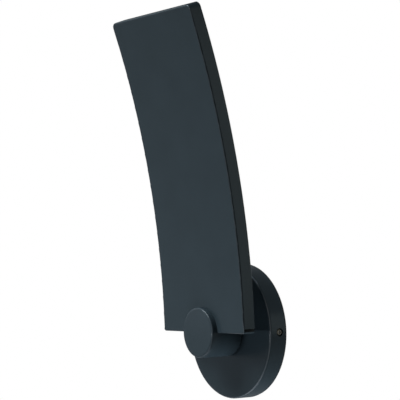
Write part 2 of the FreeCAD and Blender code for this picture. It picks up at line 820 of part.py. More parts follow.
def make_terminal_screws():
    """Slotted clamp screws at the bottom of the three wells."""
    screws = []
    for pole, across in terminal_poles():
        barrel = rod(f"clamp_{pole}", "terminal_well_radius - fit_gap", "terminal_well_depth/2",
                     across, "terminal_top_depth - terminal_well_depth/2",
                     "0 - terminal_centre_drop")
        slot = brick(f"clamp_slot_{pole}", f"{across} - terminal_well_radius",
                     "terminal_top_depth - terminal_well_depth/2 + overrun/2",
                     "0 - terminal_centre_drop - small_cross_width/2",
                     "2*terminal_well_radius", "small_cross_depth + overrun/2",
                     "small_cross_width")
        screws.append(cut(f"clamp_screw_{pole}", barrel, [slot]))
    node(group("terminal_screws", screws), "terminal_screws")


def pole_start(across):
    """Where a wire begins, inside the mouth of its pole."""
    return across, "wire_depth", "0 - terminal_low + terminal_mouth_depth - fit_gap"


def make_supply_leads():
    """Live and neutral, from the terminal block round the swivel to the driver's end."""
    low = "wire_rim_gap - canopy_inner_radius"
    end_rise = "(driver_low + supply_end_rise)"
    leads = []
    for pole, across, depth in (("live", "terminal_pitch", "wire_depth"),
                                ("neutral", "0", "(wire_depth + wire_step)")):
        points = [pole_start(across)]
        if pole == "neutral":
            points.append((across, "wire_depth", "0 - terminal_low - terminal_gap"))
        points.append((across, depth, low))
        for right, up in SUPPLY_ROUTE_SHARES:
            points.append((f"canopy_inner_radius*{right}", depth, f"canopy_inner_radius*{up}"))
        points.append(("driver_length/2 + supply_end_reach", depth, end_rise))
        points.append(("driver_length/2", depth, end_rise))
        leads.append(lead(f"supply_lead_{pole}",
                          lead_shape(points, "wire_radius", "wire_bend_radius")))
    node(group("supply_leads", leads), "supply_leads")


def make_driver_lead():
    """From inside the hollow stud to the driver's lower side."""
    points = [("0", "lead_join_depth", "0"), ("0", "lead_back_depth", "0"),
              ("0", "lead_back_depth", "driver_low")]
    node(lead("driver_lead", lead_shape(points, "lead_radius", "lead_back_turn_radius")),
         "driver_lead")


def make_earth_lead():
    """From the earth pole to a ring lug under the ground screw."""
    pole = "0 - terminal_pitch"
    screw = "0 - ground_screw_across"
    points = [pole_start(pole),
              (pole, "wire_depth", "wire_rim_gap - canopy_inner_radius"),
              (screw, "wire_depth", "earth_rim_gap - canopy_inner_radius"),
              (screw, "plate_thickness + wire_radius",
               "0 - ground_screw_drop - large_head_radius - running_gap")]
    wire = lead("earth_wire", lead_shape(points, "wire_radius", "wire_bend_radius"))
    ring = rod("lug_ring", "lug_radius", "lug_thickness", screw,
               "plate_thickness + lug_thickness", "0 - ground_screw_drop")
    hole = rod("lug_hole", "large_shank_radius + running_gap", "lug_thickness + 2*overrun",
               screw, "plate_thickness + lug_thickness + overrun", "0 - ground_screw_drop")
    node(cut("earth_lead", fuse("earth_solid", [wire, ring]), [hole]), "earth_lead")


# Swivel

def make_swivel_bush():
    node(turned("swivel_bush", [
        ("0 - canopy_depth", "stud_radius + running_gap"),
        ("0 - canopy_depth", "bush_radius"),
        ("0 - hub_depth", "bush_radius"),
        ("0 - hub_depth", "bush_flange_radius"),
        ("0 - stack_depth", "bush_flange_radius"),
        ("0 - stack_depth", "stud_radius + running_gap")]), "swivel_bush")


def make_swivel_washer():
    node(turned_ring("swivel_washer", "canopy_depth", "arm_rear_depth",
                     "stud_radius + fit_gap", "reveal_washer_radius"), "swivel_washer")


def make_swivel_stud():
    stud = turned("stud_turned", [
        ("0 - stud_end_depth", "stud_bore_radius"),
        ("0 - stud_end_depth", "stud_radius"),
        ("0 - arm_floor_depth", "stud_radius"),
        ("0 - arm_floor_depth", "stud_flange_radius"),
        ("0 - arm_floor_depth - stud_flange_thickness", "stud_flange_radius"),
        ("0 - arm_floor_depth - stud_flange_thickness", "stud_bore_radius")])
    node(cut("swivel_stud", stud, stud_screw_rods("stud_flange_hole", "fit_gap",
                                                  "arm_floor_depth - overrun",
                                                  "arm_floor_depth + stud_flange_thickness"
                                                  " + overrun")), "swivel_stud")


def stud_screw_place(index):
    angle = f"({index}*360/stud_screw_count)"
    return f"stud_screw_circle*sin({angle})", f"stud_screw_circle*cos({angle})"


def stud_screw_rods(name, gap, near_depth, far_depth):
    rods = []
    for index in range(COUNTS["stud_screw_count"]):
        across, rise = stud_screw_place(index)
        rods.append(rod(f"{name}_{index}", f"small_shank_radius + {gap}",
                        f"{far_depth} - ({near_depth})", across, far_depth, rise))
    return rods


def make_stud_screws():
    master = small_screw("stud_screw_master", "stud_flange_thickness + arm_rear_wall/2")
    screws = []
    for index in range(COUNTS["stud_screw_count"]):
        across, rise = stud_screw_place(index)
        screws.append(place(copy_of(master, f"stud_screw_{index}"), across,
                            "arm_floor_depth + stud_flange_thickness", rise, *TO_ROOM))
    node(group("stud_screws", screws), "stud_screws")


def make_stop_washer():
    ring = arm_rod("stop_ring", "stop_washer_radius", "spring_depth", "stack_depth")
    tongue = brick("stop_tongue", "0 - tongue_width/2", "stack_depth", "0 - tongue_reach",
                   "tongue_width", "stop_washer_thickness",
                   "tongue_reach - stud_radius - bush_wall/2")
    hole = arm_rod("stop_ring_hole", "stud_radius + running_gap", "spring_depth - overrun",
                   "stack_depth + overrun")
    node(cut("stop_washer", fuse("stop_solid", [ring, tongue]), [hole]), "stop_washer")


def make_spring_washer():
    inner = "stud_radius + fit_gap"
    node(turned("spring_washer", [
        ("0 - spring_depth", inner),
        ("0 - spring_depth + spring_washer_sheet", inner),
        ("0 - nut_depth", "spring_washer_radius"),
        ("0 - nut_depth - spring_washer_sheet", "spring_washer_radius")]), "spring_washer")


def make_swivel_nut():
    prism = doc.addObject("Part::Prism", "nut_prism")
    prism.Polygon = 6
    bind(prism, Circumradius="nut_corner_radius", Height="nut_thickness")
    place(prism, "0", "nut_depth", "0", *TO_WALL)
    hole = arm_rod("nut_hole", "stud_radius + running_gap",
                   "nut_depth - nut_thickness - overrun", "nut_depth + overrun")
    node(cut("swivel_nut", prism, [hole]), "swivel_nut")


# Arm

def saddle_turn(sign):
    return (Y_AXIS, f"{sign}saddle_screw_angle")


def saddle_place(radius, sign):
    """A point at a radius from the arm's axis, at the angle of a saddle screw."""
    return (f"{sign}({radius})*sin(saddle_screw_angle)",
            f"({radius})*cos(saddle_screw_angle)")


def saddle_rod(name, radius, low, length, sign):
    across, rise = saddle_place(low, sign)
    return rod(name, radius, length, across, "passage_depth", rise, saddle_turn(sign))


SIDES = (("right", ""), ("left", "0 - "))


def make_arm_housing():
    tube = turned("arm_tube", [
        ("0 - arm_rear_depth", "stud_radius + fit_gap"),
        ("0 - arm_rear_depth", "arm_radius"),
        ("0 - cap_seat_depth", "arm_radius"),
        ("0 - cap_seat_depth", "arm_inner_radius"),
        ("0 - arm_floor_depth", "arm_inner_radius"),
        ("0 - arm_floor_depth", "stud_radius + fit_gap")])
    round_edges(tube, "arm_edge_round", circle_at("arm_radius", "arm_rear_depth"))
    holes = [saddle_rod(f"arm_saddle_hole_{side}", "large_shank_radius + fit_gap",
                        "arm_inner_radius - overrun", "arm_wall + 2*overrun", sign)
             for side, sign in SIDES]
    holes.append(rod("arm_lead_hole", "grommet_radius + fit_gap", "arm_wall + 2*overrun", "0",
                     "passage_depth", "arm_inner_radius - overrun", (X_AXIS, "0")))
    holes += stud_screw_rods("arm_tapped_hole", "running_gap",
                             "arm_rear_depth + arm_rear_wall/2 - fit_gap",
                             "arm_floor_depth + overrun")
    node(cut("arm_housing", tube, holes), "arm_housing")


def make_arm_cap():
    groove = "cap_seal_section_radius + fit_gap"
    cap = turned("arm_cap", [
        ("0 - arm_front_depth", "0"),
        ("0 - arm_front_depth", "arm_radius"),
        ("0 - cap_seat_depth", "arm_radius"),
        ("0 - cap_seat_depth", "spigot_radius"),
        (f"0 - seal_depth - ({groove})", "spigot_radius"),
        (f"0 - seal_depth - ({groove})", "seal_groove_floor"),
        (f"0 - seal_depth + ({groove})", "seal_groove_floor"),
        (f"0 - seal_depth + ({groove})", "spigot_radius"),
        ("0 - spigot_depth", "spigot_radius"),
        ("0 - spigot_depth", "seal_groove_floor - cap_spigot_wall/2"),
        ("0 - cap_seat_depth", "seal_groove_floor - cap_spigot_wall/2"),
        ("0 - cap_seat_depth", "0")])
    round_edges(cap, "cap_edge_round", circle_at("arm_radius", "arm_front_depth"))
    node(cap, "arm_cap")


def make_cap_seal():
    ring = doc.addObject("Part::Torus", "cap_seal")
    bind(ring, Radius1="spigot_radius - cap_seal_section_radius",
         Radius2="cap_seal_section_radius")
    node(place(ring, "0", "seal_depth", "0", *TO_WALL), "cap_seal")


def make_saddle_screws():
    """Two screws from inside the arm into the panel, their heads towards the arm's axis."""
    master = large_screw("saddle_screw_master", "saddle_screw_length")
    screws = []
    for side, sign in SIDES:
        across, rise = saddle_place("arm_inner_radius - saddle_screw_sink", sign)
        screws.append(place(copy_of(master, f"saddle_screw_{side}"), across,
                            "passage_depth", rise, Y_AXIS,
                            f"{sign}saddle_screw_angle + 180"))
    node(group("saddle_screws", screws), "saddle_screws")


def make_lead_grommet():
    """Rubber sleeve through the arm's wall and the panel's notch wall, with a lip inside."""
    sleeve = rod("grommet_sleeve", "grommet_radius",
                 "notch_ring_radius - arm_inner_radius + grommet_lip", "0", "passage_depth",
                 "arm_inner_radius", (X_AXIS, "0"))
    lip = rod("grommet_lip_disc", "grommet_lip_radius", "grommet_lip", "0",
              "passage_depth", "notch_ring_radius + fit_gap", (X_AXIS, "0"))
    bore = rod("grommet_bore", "lead_radius + fit_gap", "2*notch_ring_radius", "0",
               "passage_depth", "0", (X_AXIS, "0"))
    node(cut("lead_grommet", fuse("grommet_solid", [sleeve, lip]), [bore]), "lead_grommet")


# Panel

def notch_rod(name, radius):
    """A cylinder about the arm's axis through the whole depth of the panel."""
    return arm_rod(name, radius, "panel_front - panel_thickness - 2*overrun",
                   "panel_front + 2*overrun")


def inner_space(name, from_into, to_into, narrowing, ring):
    """The room inside the panel between two levels, less the wall round the notch."""
    room = bent_sheet(f"{name}_room", f"panel_wall + {narrowing}",
                      f"panel_rise - panel_wall - {narrowing}", from_into, to_into,
                      f"2*(inner_half_width - {narrowing})", "inner_corner")
    return cut(name, room, [notch_rod(f"{name}_ring", ring)])


def cover_screw_places():
    for row, share in enumerate(COVER_SCREW_SHARES):
        for side, sign in SIDES:
            yield f"{row}_{side}", f"{sign}cover_screw_across", f"panel_rise*{share}"


def board_screw_places():
    for row, share in enumerate(BOARD_SCREW_SHARES):
        for side, sign in SIDES:
            yield f"{row}_{side}", f"{sign}board_screw_across", f"panel_rise*{share}"


def make_panel_shell():
    slab = bent_sheet("panel_slab", "0", "panel_rise", "0", "panel_thickness", "panel_width",
                      "panel_corner_radius", "panel_low_corner_radius")
    round_edges(slab, "panel_front_round", rim_at("0"))
    round_edges(slab, "panel_back_round", rim_at("panel_thickness"))
    low_room = inner_space("low_room", "panel_wall", "cover_seat", "panel_ledge",
                           "notch_ring_radius + panel_ledge")
    high_room = inner_space("high_room", "ledge_level", "panel_thickness + overrun", "0",
                            "notch_ring_radius")
    notch = notch_rod("notch_cut", "notch_radius")
    tray = cut("panel_tray", slab, [low_room, high_room, notch])
    added = []
    removed = []
    for name, across, along in cover_screw_places():
        added.append(rod_on_panel(f"cover_boss_{name}", "cover_boss_radius",
                                  "cover_seat - panel_wall/2 - running_gap", across, along,
                                  "panel_wall/2"))
        removed.append(rod_on_panel(f"cover_boss_hole_{name}",
                                    "cover_shank_radius + running_gap",
                                    "cover_screw_length + overrun", across, along,
                                    "cover_back - cover_screw_length - fit_gap"))
    for name, across, along in board_screw_places():
        removed.append(rod_on_panel(f"board_pilot_{name}", "board_shank_radius + running_gap",
                                    "panel_wall", across, along,
                                    "board_back - board_screw_length - fit_gap"))
    for side, sign in SIDES:
        added.append(saddle_rod(f"saddle_boss_{side}", "saddle_boss_radius",
                                "notch_ring_radius - notch_wall/2",
                                "saddle_boss_height + notch_wall/2", sign))
        removed.append(saddle_rod(f"saddle_hole_{side}", "large_shank_radius + running_gap",
                                  "notch_radius - overrun",
                                  "saddle_screw_length - arm_wall + overrun", sign))
        removed.append(box_on_panel(f"corner_relief_{side}",
                                    f"{sign}(panel_width/2 + overrun/2 - relief_depth/2)",
                                    "relief_rise", "panel_front_round",
                                    "(relief_depth + overrun)", "relief_height",
                                    "panel_thickness - panel_front_round + overrun"))
    removed.append(rod("panel_lead_hole", "grommet_radius + fit_gap",
                       "notch_wall + panel_ledge + 2*overrun", "0", "passage_depth",
                       "notch_radius - overrun", (X_AXIS, "0")))
    flat = rod("grommet_seat", "grommet_lip_radius + fit_gap", "panel_ledge + overrun", "0",
               "passage_depth", "notch_ring_radius", (X_AXIS, "0"))
    node(cut("panel_shell", fuse("panel_solid", [tray] + added), removed + [flat]),
         "panel_shell")


def window(name, grow, front, back):
    """A bent sheet of the window's outline, or larger all round."""
    return bent_sheet(name, f"window_bottom - {grow}", f"window_top + {grow}", front, back,
                      f"window_width + 2*({grow})", f"window_corner_radius + {grow}/2")


def make_rear_cover():
    outline = inner_space("cover_outline", "cover_seat", "cover_back", "fit_gap",
                          "notch_ring_radius + fit_gap")
    removed = [window("cover_window", "0", "cover_seat - overrun", "cover_back + overrun")]
    for name, across, along in cover_screw_places():
        removed.append(countersink(f"cover_sink_{name}", across, along, "fit_gap",
                                   "sink_run_share"))
        removed.append(rod_on_panel(f"cover_hole_{name}", "cover_shank_radius + fit_gap",
                                    "cover_thickness + overrun", across, along,
                                    "cover_seat - overrun"))
    node(cut("rear_cover", outline, removed), "rear_cover")


def countersink(name, across, along, gap, run):
    """A cone that widens from the cover's seat towards its back, over a run of thicknesses."""
    cone = doc.addObject("Part::Cone", name)
    bind(cone, Radius1=f"cover_shank_radius + {gap}",
         Radius2=f"cover_shank_radius + (cover_head_radius - cover_shank_radius)*{run} + {gap}",
         Height=f"cover_thickness*{run}")
    return place_on_panel(cone, across, along, "cover_seat")


def make_cover_screws():
    """Countersunk screws, flush with the rear cover."""
    screws = []
    for name, across, along in cover_screw_places():
        head = countersink(f"cover_head_{name}", across, along, "0", "1")
        shank = rod_on_panel(f"cover_shank_{name}", "cover_shank_radius", "cover_screw_length",
                             across, along, "cover_back - cover_screw_length")
        bars = [box_on_panel(f"cover_drive_{way}_{name}", across, along,
                             "cover_back - small_cross_depth", width, height,
                             "small_cross_depth + overrun")
                for way, width, height in (("flat", "2*small_cross_reach", "small_cross_width"),
                                           ("tall", "small_cross_width", "2*small_cross_reach"))]
        screws.append(cut(f"cover_screw_{name}", fuse(f"cover_screw_solid_{name}",
                                                      [head, shank]), bars))
    node(group("cover_screws", screws), "cover_screws")


def make_cover_seal():
    outer = inner_space("seal_outline", "ledge_level", "cover_seat", "fit_gap",
                        "notch_ring_radius + fit_gap")
    inner = inner_space("seal_hole", "ledge_level - overrun", "cover_seat + overrun",
                        "panel_ledge", "notch_ring_radius + panel_ledge")
    bosses = [rod_on_panel(f"seal_relief_{name}", "cover_boss_radius + fit_gap",
                           "panel_thickness", across, along, "0")
              for name, across, along in cover_screw_places()]
    node(cut("cover_seal", outer, [inner] + bosses), "cover_seal")


def make_diffuser():
    node(window("diffuser", "diffuser_lap", "diffuser_front", "diffuser_back"), "diffuser")


def make_diffuser_gasket():
    frame = window("gasket_frame", "diffuser_lap", "diffuser_back", "cover_seat")
    hole = window("gasket_window", "0", "diffuser_back - overrun", "cover_seat + overrun")
    node(cut("diffuser_gasket", frame, [hole]), "diffuser_gasket")


# Light engine

def make_thermal_pad():
    pad = bent_sheet("pad_sheet", "board_bottom + pad_inset", "board_top - pad_inset",
                     "panel_wall + running_gap", "board_front - running_gap",
                     "board_width - 2*pad_inset", "board_corner_radius")
    holes = [rod_on_panel(f"pad_hole_{name}", "board_shank_radius + fit_gap",
                          "pad_thickness + 2*overrun", across, along, "panel_wall - overrun")
             for name, across, along in board_screw_places()]
    node(cut("thermal_pad", pad, holes), "thermal_pad")


def make_led_board():
    board = bent_sheet("board_sheet", "board_bottom", "board_top", "board_front", "board_back",
                       "board_width", "board_corner_radius")
    holes = [rod_on_panel(f"board_hole_{name}", "board_shank_radius + fit_gap",
                          "board_thickness + 2*overrun", across, along, "board_front - overrun")
             for name, across, along in board_screw_places()]
    node(cut("led_board", board, holes), "led_board")


def make_board_screws():
    master = cross_screw("board_screw_master", "board_shank_radius", "board_head_radius",
                         "board_head_height", "small_head_round", "board_screw_length",
                         ("small_cross_width", "small_cross_reach", "small_cross_depth"))
    screws = [place_on_panel(copy_of(master, f"board_screw_{name}"), across, along, "board_back")
              for name, across, along in board_screw_places()]
    node(group("board_screws", screws), "board_screws")


def make_led_chips():
    chips = []
    rows = COUNTS["chip_rows_count"]
    run = "(board_top - board_bottom - 2*chip_end_margin)"
    for row in range(rows):
        along = f"board_bottom + chip_end_margin + {run}*{row}/(chip_rows_count - 1)"
        for side, sign in SIDES:
            chips.append(box_on_panel(f"chip_{row}_{side}", f"{sign}chip_columns_apart/2",
                                      f"({along})", "board_back", "chip_width", "chip_height",
                                      "chip_thickness"))
    node(group("led_chips", chips), "led_chips")


def make_board_connector():
    socket = box_on_panel("connector_block", "0", "(connector_bottom + connector_height/2)",
                          "board_back", "connector_width", "connector_height",
                          "connector_thickness")
    node(socket, "board_connector")


def make_panel_lead():
    """Through the hollow stud, along the arm, up through the grommet to the board."""
    socket = ("connector_bottom", "(board_back + connector_thickness/2)")
    points = [("0", "lead_join_depth", "0"),
              ("0", "passage_depth", "0"),
              ("0", "passage_depth", "notch_ring_radius + 2*grommet_lip"),
              ("0", bend_depth(*socket), bend_rise(*socket))]
    node(lead("panel_lead", lead_shape(points, "lead_radius", "lead_turn_radius")),
         "panel_lead")


def check_document():
    """Stops when an object failed or a node has no valid solid."""
    doc.recompute()
    for item in doc.Objects:
        if "Invalid" in item.State or "Error" in item.State:
            raise RuntimeError(f"{item.Label} failed: {item.State} {item.getStatusString()}")
    for item in nodes:
        shape = item.Shape
        if shape.isNull() or not shape.isValid() or not shape.Solids:
            raise RuntimeError(f"{item.Label} has no valid solid: {shape.isNull()}"
                               f" {shape.isValid()} {len(shape.Solids)}")


def write_nodes():
    os.makedirs("parts", exist_ok=True)
    for item in nodes:
        item.Shape.exportStep(os.path.join("parts", item.Label + ".step"))
        solids = len(item.Shape.Solids)
        print(f"{item.Label:22s} {solids:3d} solids {item.Shape.Volume:10.1f} mm3")


def main():
    fill_sheet()
    make_wall_gasket()
    make_canopy_cover()
    make_mounting_bracket()
    make_side_screws()
    make_ground_screw()
    make_led_driver()
    make_plate_screws("driver_screws", "driver_screw_across", "driver_centre_rise",
                      "driver_ear_thickness")
    make_terminal_block()
    make_terminal_screws()
    make_plate_screws("terminal_block_screws", "terminal_screw_across",
                      "0 - terminal_centre_drop", "terminal_foot_thickness")
    make_supply_leads()
    make_driver_lead()
    make_earth_lead()
    make_swivel_bush()
    make_swivel_washer()
    make_swivel_stud()
    make_stud_screws()
    make_stop_washer()
    make_spring_washer()
    make_swivel_nut()
    make_arm_housing()
    make_arm_cap()
    make_cap_seal()
    make_saddle_screws()
    make_lead_grommet()
    make_panel_shell()
    make_rear_cover()
    make_cover_screws()
    make_cover_seal()
    make_diffuser()
    make_diffuser_gasket()
    make_thermal_pad()
    make_led_board()
    make_board_screws()
    make_led_chips()
    make_board_connector()
    make_panel_lead()
    check_document()
    write_nodes()


main()
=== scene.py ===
import json
import math

import bmesh
import bpy
from mathutils import Matrix, Vector


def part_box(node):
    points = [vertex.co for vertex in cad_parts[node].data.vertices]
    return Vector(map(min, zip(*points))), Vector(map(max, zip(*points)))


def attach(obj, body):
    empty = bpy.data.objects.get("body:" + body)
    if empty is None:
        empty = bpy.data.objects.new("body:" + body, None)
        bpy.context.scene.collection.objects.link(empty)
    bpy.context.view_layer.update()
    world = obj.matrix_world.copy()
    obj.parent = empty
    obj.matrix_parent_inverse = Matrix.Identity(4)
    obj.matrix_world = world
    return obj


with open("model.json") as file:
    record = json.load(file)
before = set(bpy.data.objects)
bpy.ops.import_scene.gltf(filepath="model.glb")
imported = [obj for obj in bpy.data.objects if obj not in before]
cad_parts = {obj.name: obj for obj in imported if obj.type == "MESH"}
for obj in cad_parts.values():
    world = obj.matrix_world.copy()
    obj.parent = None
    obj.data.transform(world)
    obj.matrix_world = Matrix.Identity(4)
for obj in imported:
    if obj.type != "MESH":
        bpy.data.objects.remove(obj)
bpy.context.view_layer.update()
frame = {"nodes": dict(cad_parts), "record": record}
nodes = frame["nodes"]
scene = bpy.context.scene

MM = 0.001

# Camera, fitted to the outlines in the photograph.
CAMERA_AZIMUTH = 54.28711
CAMERA_ELEVATION = -2.25048
CAMERA_ROLL = -1.21281
CAMERA_DISTANCE = 1430.095 * MM
CAMERA_TARGET = Vector((-12.70785, -40.0, 124.17377)) * MM
FOCAL_PIXELS = 1512.25
FRAME_PIXELS = 400
SENSOR_WIDTH = 36.0
NEAREST = 10 * MM
FARTHEST = 50000 * MM

# Floor: a pale disc that thins out to nothing towards its rim.
FLOOR_PLACE = Vector((0.0, -40.0, -800.0)) * MM
FLOOR_RADIUS = 1000 * MM
FLOOR_FADE = 400 * MM
FLOOR_RIM = 5 * MM
FLOOR_SEGMENTS = 96

# The point that all lamps face.
LIT_POINT = Vector((0.0, -50.0, 100.0)) * MM

# Lamps: name, azimuth, elevation, distance, size, radiance and colour. Azimuth 0 stands in front
# of the panel and 90 to its right. A radiance of 1 is white.
LAMPS = [
    ("upper", -20.0, 50.0, 2.4, (1.8, 1.0), 12.9, (0.84, 0.93, 0.95)),
    ("high", -20.0, 66.0, 2.4, (1.8, 0.8), 9.0, (0.78, 0.87, 1.0)),
    ("left", -60.0, 8.0, 2.4, (1.2, 1.0), 3.3, (0.84, 0.90, 1.0)),
    ("front_strip", -7.0, -7.0, 2.4, (0.6, 0.08), 100.0, (0.84, 0.90, 1.0)),
    ("right", 116.0, 5.0, 1.3, (0.8, 0.6), 2.6, (0.82, 0.95, 0.96)),
    ("top", 0.0, 82.0, 1.6, (0.6, 0.3), 10.0, (0.6, 0.82, 1.0)),
    ("back", -155.0, 8.0, 1.4, (0.9, 0.9), 6.0, (0.92, 0.97, 1.0)),
    ("back_low", 180.0, -78.0, 0.5, (0.22, 0.12), 8.0, (0.78, 0.90, 1.0)),
    ("below", 0.0, -86.0, 0.45, (0.3, 0.3), 2.4, (0.82, 0.88, 1.0)),
]

# Side screw: distance of its axis from the wall, and of its head's top from the middle.
SCREW_DEPTH = 8.1 * MM
SCREW_TOP = 63.1 * MM

# Strip in the groove at each lower corner of the panel, a dark piece that stands for the shade in the
# groove. Its inner side lies 0.1 mm inside the
# groove's floor, and its back end lies STRIP_PAST_COVER behind the rear cover.
STRIP_MIDDLE = 62.55 * MM
STRIP_THICKNESS = 0.7 * MM
STRIP_FRONT = -48.15 * MM
STRIP_PAST_COVER = 0.1 * MM
STRIP_LOW = 1.75 * MM
STRIP_HIGH = 4.25 * MM
STRIP_ROUND = 0.25 * MM


# Node helpers

class Graph:
    """The nodes of a material or a world, with short calls for the few kinds used here."""

    def __init__(self, owner, output="ShaderNodeOutputMaterial"):
        owner.use_nodes = True
        self.tree = owner.node_tree
        self.tree.nodes.clear()
        self.out = self.add(output)

    def add(self, kind, **settings):
        node = self.tree.nodes.new(kind)
        for key, value in settings.items():
            setattr(node, key, value)
        return node

    def link(self, a, b):
        self.tree.links.new(a, b)

    def put(self, socket, value):
        if isinstance(value, bpy.types.NodeSocket):
            self.link(value, socket)
        else:
            socket.default_value = value

    def span(self, value, low, high, out_low, out_high):
        node = self.add("ShaderNodeMapRange")
        self.put(node.inputs["Value"], value)
        limits = {"From Min": low, "From Max": high, "To Min": out_low, "To Max": out_high}
        for name, number in limits.items():
            self.put(node.inputs[name], number)
        return node.outputs["Result"]

    def math(self, operation, a, b=0.0):
        node = self.add("ShaderNodeMath", operation=operation)
        self.put(node.inputs[0], a)
        self.put(node.inputs[1], b)
        return node.outputs[0]

    def length(self, a, b):
        """Length of a line from its parts along two axes."""
        squares = self.math("ADD", self.math("MULTIPLY", a, a), self.math("MULTIPLY", b, b))
        return self.math("SQRT", squares)

    def show(self, factor, first, second):
        """Send a mix of two shaders to the output."""
        mix = self.add("ShaderNodeMixShader")
        for socket, value in zip(mix.inputs, (factor, first, second)):
            self.link(value, socket)
        self.link(mix.outputs[0], self.out.inputs["Surface"])


class Surface(Graph):
    """The nodes of a material with one Principled shader."""

    def __init__(self, name):
        self.material = bpy.data.materials.new(name)
        super().__init__(self.material)
        self.shader = self.add("ShaderNodeBsdfPrincipled")
        self.link(self.shader.outputs["BSDF"], self.out.inputs["Surface"])
        coordinates = self.add("ShaderNodeTexCoord")
        self.place = coordinates.outputs["Object"]
        self.facing = coordinates.outputs["Normal"]

    def set(self, **values):
        names = {
            "colour": "Base Color", "metallic": "Metallic", "roughness": "Roughness",
            "specular": "Specular IOR Level", "coat": "Coat Weight", "coat_roughness": "Coat Roughness",
            "coat_ior": "Coat IOR", "normal": "Normal", "coat_normal": "Coat Normal",
            "subsurface": "Subsurface Weight", "subsurface_scale": "Subsurface Scale",
        }
        for key, value in values.items():
            self.put(self.shader.inputs[names[key]], value)

    def stretched(self, scale):
        node = self.add("ShaderNodeMapping")
        self.link(self.place, node.inputs["Vector"])
        node.inputs["Scale"].default_value = scale
        return node.outputs["Vector"]

    def noise(self, scale, detail=2.0, roughness=0.5, where=None):
        node = self.add("ShaderNodeTexNoise")
        self.link(where or self.place, node.inputs["Vector"])
        node.inputs["Scale"].default_value = scale
        node.inputs["Detail"].default_value = detail
        node.inputs["Roughness"].default_value = roughness
        return node.outputs["Fac"]

    def cells(self, scale):
        node = self.add("ShaderNodeTexVoronoi", feature="F1")
        self.link(self.place, node.inputs["Vector"])
        node.inputs["Scale"].default_value = scale
        return node.outputs["Distance"]

    def blend(self, factor, a, b):
        node = self.add("ShaderNodeMix", data_type="RGBA")
        self.put(node.inputs[0], factor)
        self.put(node.inputs[6], (*a, 1.0) if isinstance(a, tuple) else a)
        self.put(node.inputs[7], (*b, 1.0) if isinstance(b, tuple) else b)
        return node.outputs[2]

    def tone(self, value, low, high, start=0.3, full=0.7):
        """A colour that goes from low to high as a texture's value goes from start to full."""
        return self.blend(self.span(value, start, full, 0.0, 1.0), low, high)

    def axes(self, vector):
        node = self.add("ShaderNodeSeparateXYZ")
        self.link(vector, node.inputs[0])
        return node.outputs

    def turned(self, start, full, fade, end):
        """1 where a rounded edge has turned by so much from the side to the front, 0 elsewhere."""
        forward = self.math("MULTIPLY", self.axes(self.facing)[1], -1.0)
        rise = self.span(forward, start, full, 0.0, 1.0)
        fall = self.span(forward, fade, end, 1.0, 0.0)
        return self.math("MULTIPLY", rise, fall)

    def bump(self, height, strength, depth, below=None):
        node = self.add("ShaderNodeBump")
        self.put(node.inputs["Height"], height)
        node.inputs["Strength"].default_value = strength
        node.inputs["Distance"].default_value = depth
        if below is not None:
            self.link(below, node.inputs["Normal"])
        return node.outputs["Normal"]


# Materials

def satin_coat(name, shine, shade):
    """Satin black powder coat with fine orange peel, and painted light on its rounded edges.

    shine is the gloss on its rounded edges. The front part of each rounded edge gets a painted
    highlight, and shade is how much painted shade darkens the coat just behind it, a dark band that
    stands for the reflection of dark surroundings.
    """
    g = Surface(name)
    broad = g.noise(26.0, 3.0)
    speck = g.noise(2600.0, 2.0, 0.7)
    highlight_breakup = g.noise(420.0, 3.0, 0.6)
    edge = g.turned(0.45, 0.68, 0.84, 0.93)
    painted_shade_band = g.turned(0.06, 0.18, 0.40, 0.58)
    base = g.tone(broad, (0.0212, 0.0297, 0.0344), (0.0238, 0.0333, 0.0386))
    speckled = g.blend(g.span(speck, 0.62, 0.75, 0.0, 0.35), base, (0.040, 0.048, 0.052))
    # Painted highlight: the front part of each rounded edge is lightened towards a pale bluish grey,
    # broken up by noise, to stand for light caught there.
    painted_edge_highlight = g.math("MULTIPLY", edge, g.span(highlight_breakup, 0.35, 0.65, 0.15, 0.45))
    with_edge_highlight = g.blend(painted_edge_highlight, speckled, (0.060, 0.072, 0.080))
    # Painted shade: a near-black band on each rounded edge just behind the painted highlight, standing
    # for the reflection of dark surroundings; its gloss is lowered too.
    colour = g.blend(g.math("MULTIPLY", painted_shade_band, shade), with_edge_highlight, (0.006, 0.008, 0.009))
    peel = g.noise(850.0, 3.0, 0.55)
    grain = g.noise(3200.0, 2.0, 0.6)
    soft = g.bump(peel, 0.35, 0.010 * MM)
    fine = g.bump(grain, 0.25, 0.008 * MM, soft)
    lit_edge = g.span(edge, 0.0, 1.0, 0.118, shine)
    gloss = g.math("SUBTRACT", lit_edge, g.math("MULTIPLY", painted_shade_band, 0.1 * shade))
    g.set(colour=colour, roughness=g.span(broad, 0.3, 0.7, 0.38, 0.44), specular=0.0, normal=fine,
          coat=gloss, coat_roughness=0.21, coat_ior=1.5, coat_normal=soft)
    return g.material


def zinc_plate():
    """Bright zinc on rolled sheet: fine lines of the rolling, clouds and a faint straw tint."""
    g = Surface("plated_steel")
    rolled = g.noise(90.0, 4.0, 0.6, g.stretched((1.0, 1.0, 14.0)))
    cloud = g.noise(55.0, 3.0)
    g.set(colour=g.tone(cloud, (0.60, 0.62, 0.64), (0.66, 0.64, 0.58), 0.35, 0.65), metallic=1.0,
          roughness=g.span(rolled, 0.3, 0.7, 0.26, 0.40), normal=g.bump(rolled, 0.2, 0.02 * MM))
    return g.material


def turned_metal(name, low, high, roughness):
    """Turned or drawn metal: tiny lines and a slight change of tone."""
    g = Surface(name)
    lines = g.noise(1400.0, 3.0, 0.6, g.stretched((1.0, 0.12, 1.0)))
    patches = g.noise(180.0, 3.0)
    g.set(colour=g.tone(patches, low, high), metallic=1.0,
          roughness=g.span(lines, 0.3, 0.7, roughness - 0.06, roughness + 0.08),
          normal=g.bump(lines, 0.15, 0.01 * MM))
    return g.material


